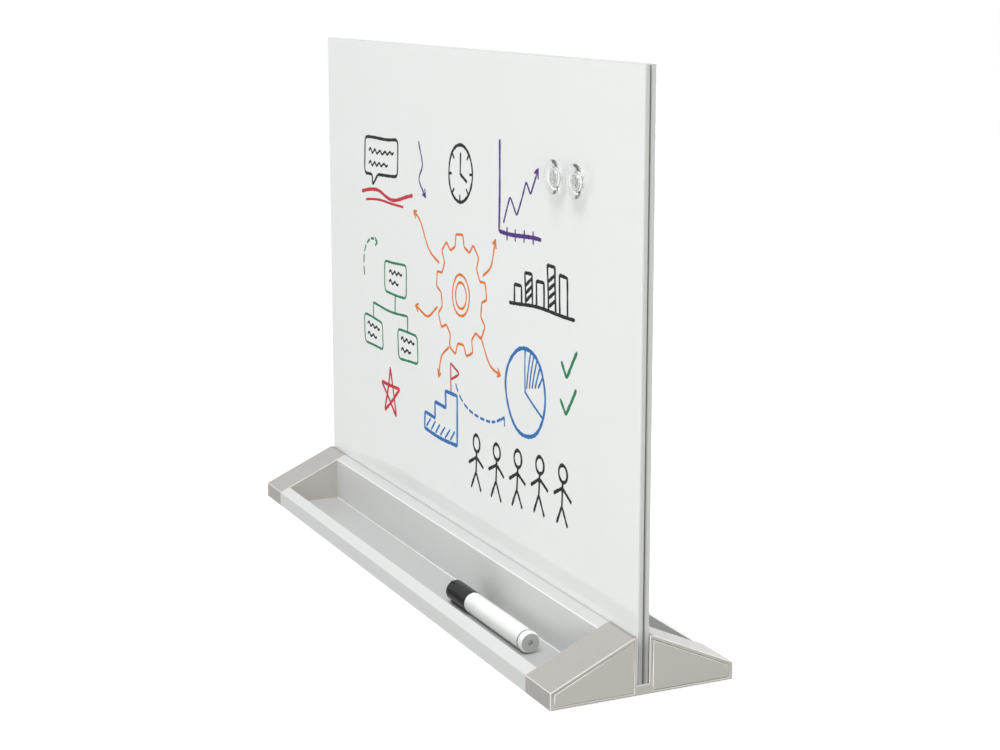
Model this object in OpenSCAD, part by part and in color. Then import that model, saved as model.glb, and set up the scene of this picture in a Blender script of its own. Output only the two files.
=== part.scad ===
// Desk whiteboard easel: two white glass panels stand back to back in a slotted base,
// which has an aluminium pen tray on each side and a moulded cap on each end.
// X runs along the board, Y from front to rear, Z up, and Z = 0 is the desk. Millimetres.

/* [Base] */
// Length of the base over its two end caps
base_length = 600; // [560:5:640]
// Depth of the base, front to rear
base_depth = 143; // [136:1:156]
// Height of the outer face of the base
toe_height = 12.4; // [11.5:0.1:15]
// Height of the flat ridge beside the glass
ridge_height = 41.3; // [38:0.1:46]
// Length of each end cap
end_cap_length = 38.5; // [34:0.5:46]
// How far the rubber feet stand below the base
foot_proud = 0.8; // [0.6:0.1:1]

/* [Pen trays] */
// Width of the outer lip of a tray
lip_width = 9.1; // [8.8:0.1:11]
// Width of the sloped rim between a tray and the ridge
rim_width = 7.5; // [7.3:0.1:9]
// Thickness of the tray floor
floor_thickness = 1.2; // [1:0.1:1.8]
// Wall of the tray extrusion
tray_wall = 1.5; // [1.2:0.1:1.6]

/* [Glass slot] */
// Width of the slot
slot_width = 9.4; // [9.3:0.1:9.8]
// Height of the slot floor above the underside of the base
slot_floor = 7.2; // [6.8:0.1:8]
// Half width of the ridge, from the middle of the slot
ridge_half = 7.9; // [7.8:0.1:8.4]

/* [Board] */
// Height of the glass panels
board_height = 422.7; // [380:0.1:450]
// Gap from a glass end to the outer face of the end cap
glass_inset = 0.5; // [0.3:0.1:2]
// Thickness of one glass panel
glass_thickness = 3.8; // [3.6:0.1:3.8]
// Thickness of the steel sheet between the panels
steel_thickness = 0.5; // [0.4:0.1:0.5]
// Thickness of each white backing film
film_thickness = 0.2; // [0.1:0.1:0.2]
// Polished bevel along the glass edges
glass_bevel = 0.6; // [0.3:0.1:0.8]

/* [Marker] */
// Length of the marker with its cap on
marker_length = 135.5; // [128:0.5:140]
// Diameter of the barrel
barrel_d = 16.4; // [15.6:0.1:17]
// Length of the cap
cap_length = 35.5; // [34:0.5:40]
// Place of the marker's plugged end along the tray
marker_end_x = 198.5; // [170:0.5:230]
// Distance of the marker's axis from the glass plane
marker_y = 36.8; // [30:0.1:46]

/* [Magnets] */
// Diameter of a magnet's knob
knob_d = 24.8; // [22:0.1:28]
// Height of the knob from the glass
knob_height = 5.5; // [5.4:0.1:8]
// Diameter of the knob where it meets the glass
knob_foot_d = 14; // [13.6:0.1:16]
// Height of both magnets above the desk
magnet_z = 346; // [300:1:380]
// Places of the two magnets along the board
magnet_xs = [174.3, 208.3];

/* [Hidden] */

$fn = 64;
EPS = 0.01;        // overshoot of a cut past the face that it opens
RUN = 0.1;         // gap between pieces that only rest beside each other
FRONT = -1;
REAR = 1;
LEFT = -1;
RIGHT = 1;

// base, worked out from its driving sizes
half_length = base_length / 2;
half_depth = base_depth / 2;
slot_half = slot_width / 2;
under_z = foot_proud;
toe_z = under_z + toe_height;
ridge_z = under_z + ridge_height;
slot_z = under_z + slot_floor;
floor_z = under_z + floor_thickness;
tray_x = half_length - end_cap_length;
lip_in = half_depth - lip_width;
rim_out = ridge_half + rim_width;
deck_rise = (ridge_z - toe_z) / (half_depth - ridge_half);

// height of the sloping deck at a distance from the middle plane
function deck_z(a) = toe_z + deck_rise * (half_depth - a);

// tray extrusion
keel_z = under_z + 3;                      // top of the thick strip under the channel
channel_wall = 1.5;
channel_base = 2.2;
channel_half = slot_half + channel_wall;
channel_top = ridge_z - tray_wall - RUN;
leg_in = channel_half + RUN;               // inner leg that holds the channel
leg_out = leg_in + tray_wall;
port_bore_r = 1.53;                        // screw ports along the extrusion
lip_port = [half_depth - 6.1, under_z + 6.2];
rim_port = [(leg_out + rim_out - tray_wall) / 2, under_z + 24];
lip_port_r = 3.2;
rim_port_r = 3.4;

// end cap
cap_wall = 2.5;
inlay_depth = 1.2;
inlay_gap = 0.5;
inlay_thickness = 1.15;
inlay_side = 3.1;                          // margins of an inlay plate
inlay_bottom = 2.1;
inlay_top = 3.1;
inlay_slot = 2.7;
screw_shank_r = 1.5;
screw_head_r = 2.75;
screw_head_h = 2.2;
screw_grip = 10;                           // thread length inside a port
bore_head_r = 2.85;
tube_wall = 1.4;
rib_thickness = 2;
rib_at = 36;

// feet
foot_r = 6;
foot_recess = 0.7;
foot_at = [half_length - end_cap_length / 2, half_depth - 16];
post_r = foot_r + 1.4;

// centre channel screws
channel_screw_y = 3.2;
channel_screw_xs = [-220, -110, 0, 110, 220];
csk_r = 2.7;
csk_h = 1.5;
channel_thread_r = 1.25;

// glass blocks and gaskets
block_length = 60;
block_xs = [-200, 0, 200];
block_half = slot_half - RUN;
gasket_thickness = 0.3;
gasket_low_z = slot_z + 6;

// board
board_z = slot_z + RUN;
board_top = board_z + board_height;
glass_half = half_length - glass_inset;
steel_face = steel_thickness / 2;
film_face = steel_face + film_thickness;
glass_face = film_face + glass_thickness;
film_inset = 4;
steel_inset = 4.5;

// marker, measured along its axis from the plugged end
marker_z = floor_z + barrel_d / 2 + 0.35;
barrel_r = barrel_d / 2;
bore_r = barrel_r - 1.2;
plug_length = 7.3;
groove_width = 0.6;
mouth = marker_length - cap_length;
cap_r = barrel_r + 0.2;
neck_r = barrel_r - 0.9;
neck_length = 8;
core_r = 5.6;
holder_r = 5.2;
holder_tip = mouth + 21;
nib_r = 2.5;
nib_end = mouth + 28.5;
seal_end = cap_length - 1.7;
nub_angles = [115, 245, 355];

// magnet
magnet_lift = 0.05;                        // air gap that stands for the contact with the glass
magnet_r = 5;
magnet_thickness = 2.8;

// ---- helpers ----

// Extrudes an outline of [y, z] points along X.
module along_x(x0, x1) {
    translate([x0, 0, 0])
        rotate([90, 0, 90])
            linear_extrude(height = x1 - x0)
                children();
}

// Turns a lathe profile of [radius, length] points so that its length runs along X.
module lathe_x(points) {
    rotate([0, 90, 0])
        rotate_extrude()
            polygon(points);
}

// A solid rod along X.
module rod_x(x0, x1, r) {
    translate([x0, 0, 0])
        rotate([0, 90, 0])
            cylinder(h = x1 - x0, r = r);
}

// Puts a piece drawn for the rear on the front or the rear.
module on_side(side) {
    if (side == REAR)
        children();
    else
        mirror([0, 1, 0])
            children();
}

// Puts a piece drawn for the right end on the left or the right.
module on_end(end) {
    if (end == RIGHT)
        children();
    else
        mirror([1, 0, 0])
            children();
}

// ---- base ----

// Outside of the tray extrusion, from the middle of the base to its toe.
module tray_outline() {
    polygon([
        [RUN, under_z], [half_depth, under_z], [half_depth, toe_z], [lip_in, deck_z(lip_in)],
        [lip_in, floor_z], [rim_out, floor_z], [rim_out, deck_z(rim_out)],
        [ridge_half, ridge_z], [slot_half, ridge_z], [slot_half, ridge_z - tray_wall],
        [leg_in, ridge_z - tray_wall], [leg_in, keel_z], [RUN, keel_z]
    ]);
}

// Hollow of the lip.
module lip_chamber() {
    a0 = lip_in + tray_wall;
    a1 = half_depth - tray_wall;
    difference() {
        polygon([
            [a0, floor_z], [a1, floor_z], [a1, deck_z(a1) - tray_wall], [a0, deck_z(a0) - tray_wall]
        ]);
        translate(lip_port)
            circle(r = lip_port_r);
    }
}

// Hollow between the tray's back wall and the leg beside the channel.
module rim_chamber() {
    a0 = leg_out;
    a1 = rim_out - tray_wall;
    difference() {
        polygon([
            [a0, keel_z], [a1, keel_z], [a1, deck_z(a1) - tray_wall], [a0, deck_z(a0) - tray_wall]
        ]);
        translate(rim_port)
            circle(r = rim_port_r);
    }
}

module tray(side) {
    on_side(side)
        difference() {
            along_x(-tray_x, tray_x)
                difference() {
                    tray_outline();
                    lip_chamber();
                    rim_chamber();
                }
            for (port = [lip_port, rim_port])
                translate([0, port[0], port[1]])
                    rod_x(-tray_x - EPS, tray_x + EPS, port_bore_r);
            for (x = channel_screw_xs)
                translate([x, channel_screw_y, 0])
                    channel_screw_hole();
        }
}

// Clearance hole and countersink from below for one channel screw.
module channel_screw_hole() {
    translate([0, 0, under_z])
        rotate_extrude()
            polygon([
                [0, -EPS], [csk_r + 0.15, -EPS], [csk_r + 0.15, 0],
                [screw_shank_r + 0.1, csk_h], [screw_shank_r + 0.1, 4], [0, 4]
            ]);
}

module front_tray() {
    color("gainsboro")
        tray(FRONT);
}

module rear_tray() {
    color("gainsboro")
        tray(REAR);
}

module centre_channel() {
    color("silver")
        difference() {
            along_x(-tray_x, tray_x)
                polygon([
                    [-channel_half, keel_z], [channel_half, keel_z], [channel_half, channel_top],
                    [slot_half, channel_top], [slot_half, keel_z + channel_base],
                    [-slot_half, keel_z + channel_base], [-slot_half, channel_top],
                    [-channel_half, channel_top]
                ]);
            for (x = channel_screw_xs, side = [FRONT, REAR])
                translate([x, side * channel_screw_y, keel_z - EPS])
                    cylinder(h = channel_base + 2 * EPS, r = channel_thread_r);
        }
}

module channel_screws() {
    head_z = under_z + 0.1;
    color("dimgray")
        for (x = channel_screw_xs, side = [FRONT, REAR])
            translate([x, side * channel_screw_y, head_z])
                difference() {
                    rotate_extrude()
                        polygon([
                            [0, 0], [csk_r, 0], [screw_shank_r, csk_h], [screw_shank_r, keel_z - head_z],
                            [channel_thread_r - 0.02, keel_z - head_z],
                            [channel_thread_r - 0.02, keel_z + channel_base - head_z],
                            [0, keel_z + channel_base - head_z]
                        ]);
                    for (turn = [0, 90])
                        rotate([0, 0, turn])
                            cube([3, 0.6, 1.6], center = true);
                }
}

module setting_blocks() {
    color("darkslategray")
        for (x = block_xs)
            along_x(x - block_length / 2, x + block_length / 2)
                polygon([
                    [-block_half, keel_z + channel_base], [block_half, keel_z + channel_base],
                    [block_half, slot_z - 0.4], [block_half - 0.4, slot_z],
                    [0.4 - block_half, slot_z], [-block_half, slot_z - 0.4]
                ]);
}

module gasket(side) {
    on_side(side)
        along_x(-tray_x, tray_x)
            polygon([
                [slot_half, gasket_low_z], [slot_half, ridge_z - 0.2],
                [slot_half - gasket_thickness, ridge_z - 0.6],
                [slot_half - gasket_thickness, gasket_low_z + 1]
            ]);
}

module front_gasket() {
    color("lightgray")
        gasket(FRONT);
}

module rear_gasket() {
    color("lightgray")
        gasket(REAR);
}

// Outside of an end cap with its open slot.
module cap_outline() {
    polygon([
        [-half_depth, under_z], [half_depth, under_z], [half_depth, toe_z],
        [ridge_half, ridge_z], [slot_half, ridge_z], [slot_half, slot_z],
        [-slot_half, slot_z], [-slot_half, ridge_z], [-ridge_half, ridge_z], [-half_depth, toe_z]
    ]);
}

// Outline of an inlay plate on the rear half, grown by a gap.
module inlay_outline(grow) {
    a0 = slot_half + inlay_slot - grow;
    a1 = half_depth - inlay_side + grow;
    polygon([
        [a0, under_z + inlay_bottom - grow], [a1, under_z + inlay_bottom - grow],
        [a1, deck_z(a1) - inlay_top + grow], [a0, deck_z(a0) - inlay_top + grow]
    ]);
}

// The two hollows under one half of a right-hand cap, parted by a rib.
module cap_hollows() {
    x0 = tray_x + cap_wall;
    x1 = half_length - inlay_depth - cap_wall;
    for (span = [[slot_half + cap_wall, rib_at], [rib_at + rib_thickness, half_depth - cap_wall]])
        along_x(x0, x1)
            polygon([
                [span[0], under_z - 1], [span[1], under_z - 1],
                [span[1], deck_z(span[1]) - cap_wall],
                [max(span[0], ridge_half), deck_z(max(span[0], ridge_half)) - cap_wall],
                [span[0], deck_z(max(span[0], ridge_half)) - cap_wall]
            ]);
}

// Tubes for the cap screws and posts for the feet, inside one half of a right-hand cap.
module cap_posts() {
    intersection() {
        union() {
            for (port = [lip_port, rim_port])
                translate([0, port[0], port[1]])
                    rod_x(tray_x + EPS, half_length - inlay_depth - EPS, bore_head_r + tube_wall);
            translate([foot_at[0], foot_at[1], under_z])
                cylinder(h = ridge_height, r = post_r);
        }
        along_x(tray_x, half_length - inlay_depth)
            polygon([
                [slot_half, under_z], [half_depth, under_z], [half_depth, toe_z - 0.5],
                [ridge_half, ridge_z - 0.5], [slot_half, ridge_z - 0.5]
            ]);
    }
}

module end_cap(end) {
    seat_x = tray_x + cap_wall;
    on_end(end)
        difference() {
            union() {
                difference() {
                    along_x(tray_x, half_length)
                        cap_outline();
                    for (side = [FRONT, REAR])
                        on_side(side)
                            cap_hollows();
                }
                for (side = [FRONT, REAR])
                    on_side(side)
                        cap_posts();
            }
            for (side = [FRONT, REAR])
                on_side(side) {
                    along_x(half_length - inlay_depth, half_length + 1)
                        inlay_outline(inlay_gap);
                    for (port = [lip_port, rim_port])
                        translate([0, port[0], port[1]]) {
                            rod_x(tray_x - 1, half_length, screw_shank_r + 0.2);
                            rod_x(seat_x, half_length, bore_head_r);
                        }
                    translate([foot_at[0], foot_at[1], under_z - 1])
                        cylinder(h = foot_recess + 1, r = foot_r + 0.1);
                }
        }
}

module left_end_cap() {
    color([0.75, 0.73, 0.71])
        end_cap(LEFT);
}

module right_end_cap() {
    color([0.75, 0.73, 0.71])
        end_cap(RIGHT);
}

module inlay(end, side) {
    x0 = half_length - inlay_depth;
    color([0.72, 0.70, 0.67])
        on_end(end)
            on_side(side)
                along_x(x0, x0 + inlay_thickness)
                    inlay_outline(0);
}

module left_front_inlay() {
    inlay(LEFT, FRONT);
}

module left_rear_inlay() {
    inlay(LEFT, REAR);
}

module right_front_inlay() {
    inlay(RIGHT, FRONT);
}

module right_rear_inlay() {
    inlay(RIGHT, REAR);
}

// Four pan-head screws, from an end cap into the ports of both trays.
module cap_screws(end) {
    seat_x = tray_x + cap_wall;
    tip_x = tray_x - screw_grip;
    color("dimgray")
        on_end(end)
            for (side = [FRONT, REAR], port = [lip_port, rim_port])
                on_side(side)
                    translate([tip_x, port[0], port[1]])
                        difference() {
                            lathe_x([
                                [0, 0], [screw_shank_r - 0.5, 0], [screw_shank_r, 1],
                                [screw_shank_r, seat_x - tip_x], [screw_head_r, seat_x - tip_x],
                                [screw_head_r, seat_x - tip_x + screw_head_h - 0.6],
                                [screw_head_r - 0.8, seat_x - tip_x + screw_head_h],
                                [0, seat_x - tip_x + screw_head_h]
                            ]);
                            for (turn = [0, 90])
                                translate([seat_x - tip_x + screw_head_h, 0, 0])
                                    rotate([turn, 0, 0])
                                        cube([2.4, 3, 0.7], center = true);
                        }
}

module left_cap_screws() {
    cap_screws(LEFT);
}

module right_cap_screws() {
    cap_screws(RIGHT);
}

module foot_pads() {
    color("black")
        for (end = [LEFT, RIGHT], side = [FRONT, REAR])
            translate([end * foot_at[0], side * foot_at[1], 0])
                rotate_extrude()
                    polygon([
                        [0, 0], [foot_r - 0.4, 0], [foot_r, 0.4],
                        [foot_r, foot_proud + foot_recess], [0, foot_proud + foot_recess]
                    ]);
}

// ---- board ----

// A sheet in the XZ plane between two depths, with bevelled edges.
module sheet(inset, y0, y1, bevel) {
    x1 = glass_half - inset;
    z0 = board_z + inset;
    z1 = board_top - inset;
    intersection() {
        along_x(-x1, x1)
            polygon([
                [y0 + bevel, z0], [y1 - bevel, z0], [y1, z0 + bevel], [y1, z1 - bevel],
                [y1 - bevel, z1], [y0 + bevel, z1], [y0, z1 - bevel], [y0, z0 + bevel]
            ]);
        translate([0, 0, z0 - 1])
            linear_extrude(height = z1 - z0 + 2)
                polygon([
                    [bevel - x1, y0], [x1 - bevel, y0], [x1, y0 + bevel], [x1, y1 - bevel],
                    [x1 - bevel, y1], [bevel - x1, y1], [-x1, y1 - bevel], [-x1, y0 + bevel]
                ]);
    }
}

// A thin sheet with square edges.
module plain_sheet(inset, y0, y1) {
    x1 = glass_half - inset;
    translate([-x1, y0, board_z + inset])
        cube([2 * x1, y1 - y0, board_height - 2 * inset]);
}

module front_glass() {
    color("white")
        sheet(0, -glass_face, -film_face, glass_bevel);
}

module rear_glass() {
    color("white")
        sheet(0, film_face, glass_face, glass_bevel);
}

module front_backing_film() {
    color("whitesmoke")
        plain_sheet(film_inset, -film_face, -steel_face);
}

module rear_backing_film() {
    color("whitesmoke")
        plain_sheet(film_inset, steel_face, film_face);
}

module steel_sheet() {
    color("gray")
        plain_sheet(steel_inset, -steel_face, steel_face);
}

// ---- magnets ----

// Clear knob: a narrow foot on the glass flares to a wide disc with a ringed front.
module magnet_knob(x) {
    foot = knob_foot_d / 2;
    rim = knob_d / 2;
    h = knob_height - magnet_lift;
    ring_r = 5.75;
    face_r = 3.4;
    color([0.86, 0.90, 0.92, 0.6])
        translate([x, -glass_face - magnet_lift, magnet_z])
            rotate([90, 0, 0])
                rotate_extrude()
                    polygon([
                        [0, magnet_thickness + 0.1], [magnet_r + 0.05, magnet_thickness + 0.1],
                        [magnet_r + 0.05, 0], [foot - 0.2, 0], [foot, 0.2], [foot, 0.9],
                        [foot + 0.6, 1.6], [foot + 1.8, 2.2], [rim - 1.6, 2.6], [rim - 0.5, 2.8],
                        [rim, 3.3], [rim, h - 0.7], [rim - 0.3, h - 0.2], [rim - 0.8, h],
                        [ring_r + 0.6, h - 0.25], [ring_r, h - 0.9], [ring_r - 1.2, h - 1.1],
                        [face_r + 0.3, h - 1], [face_r, h - 0.6], [0, h - 0.6]
                    ]);
}

module magnet_disc(x) {
    color("silver")
        translate([x, -glass_face - magnet_lift - 0.1, magnet_z])
            rotate([90, 0, 0])
                cylinder(h = magnet_thickness - 0.1, r = magnet_r);
}

module magnet_1_knob() {
    magnet_knob(magnet_xs[0]);
}

module magnet_1_disc() {
    magnet_disc(magnet_xs[0]);
}

module magnet_2_knob() {
    magnet_knob(magnet_xs[1]);
}

module magnet_2_disc() {
    magnet_disc(magnet_xs[1]);
}

// ---- marker ----

// Lays a marker piece in the front tray. Its lathe profile runs from the plugged end to the cap.
module marker_piece(points) {
    translate([marker_end_x, -marker_y, marker_z])
        mirror([1, 0, 0])
            lathe_x(points);
}

module marker_barrel() {
    color("white")
        marker_piece([
            [bore_r, plug_length + groove_width], [barrel_r - 0.3, plug_length + groove_width],
            [barrel_r, plug_length + groove_width + 0.3], [barrel_r, mouth - 0.4],
            [barrel_r - 0.2, mouth - 0.1], [neck_r, mouth - 0.1], [neck_r, mouth + 2],
            [neck_r + 0.15, mouth + 2.6], [neck_r, mouth + 3.2], [neck_r, mouth + neck_length],
            [holder_r + 0.1, mouth + neck_length], [holder_r + 0.1, mouth + neck_length - 3],
            [bore_r, mouth + neck_length - 5]
        ]);
}

module marker_end_plug() {
    hole_r = 2;
    color("whitesmoke")
        marker_piece([
            [0, 2], [hole_r, 2], [hole_r, 0], [barrel_r - 1.1, 0], [barrel_r - 0.9, 0.2],
            [barrel_r - 0.1, 2.2], [barrel_r, 2.8], [barrel_r, plug_length - 0.2],
            [barrel_r - 0.2, plug_length], [barrel_r - 0.7, plug_length],
            [barrel_r - 0.7, plug_length + groove_width], [bore_r - 0.02, plug_length + groove_width],
            [bore_r - 0.02, plug_length + 5], [bore_r - 0.8, plug_length + 6], [0, plug_length + 6]
        ]);
}

module marker_ink_core() {
    color("lightyellow")
        marker_piece([
            [0, plug_length + 7], [core_r, plug_length + 7], [core_r, mouth + 1], [0, mouth + 1]
        ]);
}

module marker_nib_holder() {
    start = mouth + neck_length - 3;
    color("white")
        marker_piece([
            [nib_r + 0.05, start], [holder_r, start], [holder_r, mouth + neck_length + 1.5],
            [holder_r - 0.9, mouth + neck_length + 3], [nib_r + 1, holder_tip], [nib_r + 0.05, holder_tip]
        ]);
}

module marker_nib() {
    start = mouth + 1.1;
    color("black")
        marker_piece([
            [0, start], [nib_r - 0.5, start], [nib_r - 0.4, start + 2], [nib_r, mouth + 4.5],
            [nib_r, nib_end - 2.6], [nib_r - 0.3, nib_end - 1.4], [nib_r - 1, nib_end - 0.5],
            [nib_r - 1.8, nib_end - 0.1], [0, nib_end]
        ]);
}

module marker_cap() {
    inner_r = neck_r + 0.2;
    color([0.12, 0.12, 0.12])
        union() {
            marker_piece([
                [inner_r, mouth], [cap_r - 0.2, mouth], [cap_r, mouth + 0.2], [cap_r, marker_length - 1.6],
                [cap_r - 0.4, marker_length - 0.6], [cap_r - 1.3, marker_length],
                [0, marker_length], [0, marker_length - 1.6], [inner_r, marker_length - 1.6]
            ]);
            for (angle = nub_angles)
                translate([marker_end_x, -marker_y, marker_z])
                    mirror([1, 0, 0])
                        rotate([angle, 0, 0])
                            cap_nub();
        }
}

// One of the small ridges that keep the marker from rolling.
module cap_nub() {
    translate([marker_length - 4.6, cap_r - 0.4, -0.6])
        cube([3.4, 0.95, 1.2]);
}

module marker_cap_seal() {
    outer_r = neck_r + 0.15;
    inner_r = holder_r + 0.3;
    start = mouth + neck_length + 0.6;
    color("dimgray")
        marker_piece([
            [inner_r, start], [outer_r, start], [outer_r, mouth + seal_end - 0.1],
            [0, mouth + seal_end - 0.1], [0, mouth + seal_end - 2.4], [nib_r + 0.6, mouth + seal_end - 4],
            [nib_r + 0.9, holder_tip + 1.4], [nib_r + 1.8, holder_tip],
            [holder_r - 0.4, mouth + neck_length + 4.4]
        ]);
}

front_tray();
rear_tray();
centre_channel();
channel_screws();
setting_blocks();
front_gasket();
rear_gasket();
left_end_cap();
right_end_cap();
left_front_inlay();
left_rear_inlay();
right_front_inlay();
right_rear_inlay();
left_cap_screws();
right_cap_screws();
foot_pads();
front_glass();
rear_glass();
front_backing_film();
rear_backing_film();
steel_sheet();
magnet_1_knob();
magnet_1_disc();
magnet_2_knob();
magnet_2_disc();
marker_barrel();
marker_end_plug();
marker_ink_core();
marker_nib_holder();
marker_nib();
marker_cap();
marker_cap_seal();
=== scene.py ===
"""Looks of the desk whiteboard easel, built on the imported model. Metres, Z up, front towards -Y."""
import math

import bmesh
import bpy
from mathutils import Matrix, Vector
from mathutils.bvhtree import BVHTree


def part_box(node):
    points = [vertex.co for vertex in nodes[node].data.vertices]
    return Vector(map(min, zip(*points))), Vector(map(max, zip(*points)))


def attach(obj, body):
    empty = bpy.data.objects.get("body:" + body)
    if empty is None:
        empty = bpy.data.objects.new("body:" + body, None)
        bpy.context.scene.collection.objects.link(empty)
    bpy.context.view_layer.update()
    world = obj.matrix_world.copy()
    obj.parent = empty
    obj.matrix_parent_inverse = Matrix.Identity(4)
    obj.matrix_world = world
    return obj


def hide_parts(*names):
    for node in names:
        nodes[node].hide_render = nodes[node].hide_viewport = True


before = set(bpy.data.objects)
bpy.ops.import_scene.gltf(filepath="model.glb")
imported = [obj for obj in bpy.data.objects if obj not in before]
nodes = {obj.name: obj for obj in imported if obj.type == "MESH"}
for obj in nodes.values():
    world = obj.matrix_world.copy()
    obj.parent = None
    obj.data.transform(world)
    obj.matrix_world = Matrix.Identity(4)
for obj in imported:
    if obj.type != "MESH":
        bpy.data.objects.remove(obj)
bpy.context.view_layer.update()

MM = 0.001

# ---- camera ----
IMAGE_WIDTH = 1000                               # pixels
FOCAL_PX = 1917.0                                # focal length in pixels of the photograph
SENSOR = 36.0                                    # mm
CAMERA_AT = (1.3917, -0.6196, 0.4872)
CAMERA_YAW = 64.92                               # degrees
CAMERA_PITCH = -10.04
SHIFT_DOWN = 0.06                                # the photograph was framed below its optical axis
NEAREST_SEEN = 0.01                              # metres


def add_camera():
    """The camera that was fitted to the photograph."""
    data = bpy.data.cameras.new("camera")
    data.sensor_width = SENSOR
    data.lens = FOCAL_PX * SENSOR / IMAGE_WIDTH
    data.shift_y = -SHIFT_DOWN
    data.clip_start = NEAREST_SEEN
    camera = bpy.data.objects.new("camera", data)
    camera.location = CAMERA_AT
    camera.rotation_euler = (math.radians(90 + CAMERA_PITCH), 0, math.radians(CAMERA_YAW))
    bpy.context.collection.objects.link(camera)
    bpy.context.scene.camera = camera


# ---- light ----
WORLD_LEVEL = 0.42                               # what the surroundings add to a matt surface
FLOOR_GLOW = 0.78                                # what lifts the floor to white for the camera
WHITE = (1.0, 1.0, 1.0)
LAMPS = {                                        # name: place, size, share of a plain level, colour
    "top": ((0.5, -0.95, 3.0), 1.5, 0.62, WHITE),
    "end": ((2.3, -0.5, 0.4), 1.2, 0.49, (0.97, 1.0, 0.92)),
    "front": ((-0.6, -2.4, 0.7), 1.6, 0.11, WHITE),
    "back": ((-1.7, 2.2, 0.8), 1.6, 0.30, WHITE),
}
LIT_POINT = (0, 0, 0.15)                         # what the lamps are aimed at


def add_lamps():
    """Soft area lamps. Each one alone would show a white surface that faces it at its share of full white."""
    target = Vector(LIT_POINT)
    for name, (place, size, share, colour) in LAMPS.items():
        data = bpy.data.lights.new("lamp_" + name, "AREA")
        lamp = bpy.data.objects.new("lamp_" + name, data)
        lamp.location = place
        away = Vector(place) - target
        data.energy = share * math.pi ** 2 * away.length_squared
        data.size = size
        data.color = colour
        lamp.rotation_euler = away.to_track_quat("Z", "Y").to_euler()
        bpy.context.collection.objects.link(lamp)


def larger(tree, one, two):
    """The larger of two node outputs."""
    either = tree.nodes.new("ShaderNodeMath")
    either.operation = "MAXIMUM"
    tree.links.new(one, either.inputs[0])
    tree.links.new(two, either.inputs[1])
    return either.outputs[0]


def times(tree, one, factor):
    """A node output times a number."""
    product = tree.nodes.new("ShaderNodeMath")
    product.operation = "MULTIPLY"
    product.inputs[1].default_value = factor
    tree.links.new(one, product.inputs[0])
    return product.outputs[0]


def seen_rays(tree):
    """Two outputs: 1 for rays from the camera, and 1 for rays that come by gloss or through glass."""
    path = tree.nodes.new("ShaderNodeLightPath")
    return path.outputs["Is Camera Ray"], larger(
        tree, path.outputs["Is Glossy Ray"], path.outputs["Is Transmission Ray"])


def add_world():
    """Even light on the object, and plain white where the camera, gloss or glass sees the surroundings."""
    world = bpy.data.worlds.new("studio")
    world.use_nodes = True
    tree = world.node_tree
    tree.nodes.clear()
    light = tree.nodes.new("ShaderNodeBackground")
    light.inputs["Strength"].default_value = WORLD_LEVEL
    white = tree.nodes.new("ShaderNodeBackground")
    for shader in (light, white):
        shader.inputs["Color"].default_value = (*WHITE, 1)
    mix = tree.nodes.new("ShaderNodeMixShader")
    out = tree.nodes.new("ShaderNodeOutputWorld")
    tree.links.new(larger(tree, *seen_rays(tree)), mix.inputs["Fac"])
    tree.links.new(light.outputs[0], mix.inputs[1])
    tree.links.new(white.outputs[0], mix.inputs[2])
    tree.links.new(mix.outputs[0], out.inputs["Surface"])
    bpy.context.scene.world = world
    bpy.context.scene.view_settings.view_transform = "Standard"


# ---- materials ----
def srgb(r, g, b):
    """Linear colour of an 8-bit colour as it is seen."""
    def linear(c):
        c /= 255
        return c / 12.92 if c <= 0.04045 else ((c + 0.055) / 1.055) ** 2.4
    return (linear(r), linear(g), linear(b), 1.0)


NOISE_SPAN = (0.3, 0.7)                          # the middle part of the noise, which is spread out


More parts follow.
